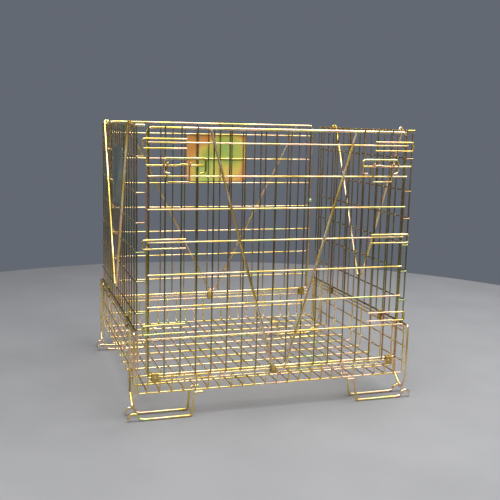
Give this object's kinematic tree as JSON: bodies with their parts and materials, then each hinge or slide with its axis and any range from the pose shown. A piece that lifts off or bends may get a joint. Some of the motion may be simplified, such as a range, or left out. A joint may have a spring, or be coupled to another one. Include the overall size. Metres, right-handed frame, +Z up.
{
  "type": "folding wire mesh container",
  "caption": "Stackable wire mesh stillage on wire feet: hinged mesh walls fold inward over the tray, slide latches lock the front wall.",
  "frame": {"origin": "on the ground under the middle of the container", "axes": "+Z up, the latched front wall faces -Y, +X to the right seen from the front"},
  "size_m": [0.9828, 0.8845, 0.9256],
  "materials": {
    "mesh_finish": "bright yellow chromate zinc plate",
    "frame_finish": "bright yellow chromate zinc plate",
    "base_finish": "bright yellow chromate zinc plate",
    "latch_finish": "bright yellow chromate zinc plate",
    "sheet_finish": "bright yellow chromate zinc plate"
  },
  "bodies": {
    "base": {"back_clip_left": "sheet_finish", "back_clip_middle": "sheet_finish", "back_clip_right": "sheet_finish", "corner_stirrup_back_left": "base_finish", "corner_stirrup_back_right": "base_finish", "corner_stirrup_front_left": "base_finish", "corner_stirrup_front_right": "base_finish", "front_clip_left": "sheet_finish", "front_clip_middle": "sheet_finish", "front_clip_right": "sheet_finish", "left_clip_back": "sheet_finish", "left_clip_front": "sheet_finish", "right_clip_back": "sheet_finish", "right_clip_front": "sheet_finish", "skid_back_left_inner": "base_finish", "skid_back_left_outer": "base_finish", "skid_back_right_inner": "base_finish", "skid_back_right_outer": "base_finish", "skid_front_left_inner": "base_finish", "skid_front_left_outer": "base_finish", "skid_front_right_inner": "base_finish", "skid_front_right_outer": "base_finish", "tray_back_rim": "base_finish", "tray_floor": "base_finish", "tray_front_rim": "base_finish", "tray_left_rim": "base_finish", "tray_right_rim": "base_finish"},
    "front_wall": {"corner_loop_left_low": "frame_finish", "corner_loop_left_middle": "frame_finish", "corner_loop_left_top": "frame_finish", "corner_loop_right_low": "frame_finish", "corner_loop_right_middle": "frame_finish", "corner_loop_right_top": "frame_finish", "front_wall_brace": "frame_finish", "front_wall_frame": "frame_finish", "front_wall_mesh": "mesh_finish", "latch_guide_left": "latch_finish", "latch_guide_right": "latch_finish"},
    "back_wall": {"back_wall_brace": "frame_finish", "back_wall_frame": "frame_finish", "back_wall_mesh": "mesh_finish", "label_plate_back": "sheet_finish"},
    "left_wall": {"label_plate_left": "sheet_finish", "left_wall_brace": "frame_finish", "left_wall_mesh": "mesh_finish"},
    "right_wall": {"right_wall_brace": "frame_finish", "right_wall_mesh": "mesh_finish"},
    "left_bolt": {"latch_bolt_left": "latch_finish"},
    "right_bolt": {"latch_bolt_right": "latch_finish"}
  },
  "joints": [
    {"name": "front_wall_fold", "type": "hinge", "parent": "base", "child": "front_wall", "pos_m": [0, -0.4041, 0.145], "axis": [-1, 0, 0], "range_deg": [0, 90]},
    {"name": "back_wall_fold", "type": "hinge", "parent": "base", "child": "back_wall", "pos_m": [0, 0.4199, 0.212], "axis": [1, 0, 0], "range_deg": [0, 90]},
    {"name": "right_wall_fold", "type": "hinge", "parent": "base", "child": "right_wall", "pos_m": [0.4625, 0, 0.257], "axis": [0, -1, 0], "range_deg": [0, 90]},
    {"name": "left_wall_fold", "type": "hinge", "parent": "base", "child": "left_wall", "pos_m": [-0.4625, 0, 0.287], "axis": [0, 1, 0], "range_deg": [0, 90]},
    {"name": "left_bolt_slide", "type": "slide", "parent": "front_wall", "child": "left_bolt", "axis": [1, 0, 0], "range_m": [0, 0.025]},
    {"name": "right_bolt_slide", "type": "slide", "parent": "front_wall", "child": "right_bolt", "axis": [-1, 0, 0], "range_m": [0, 0.025]}
  ]
}
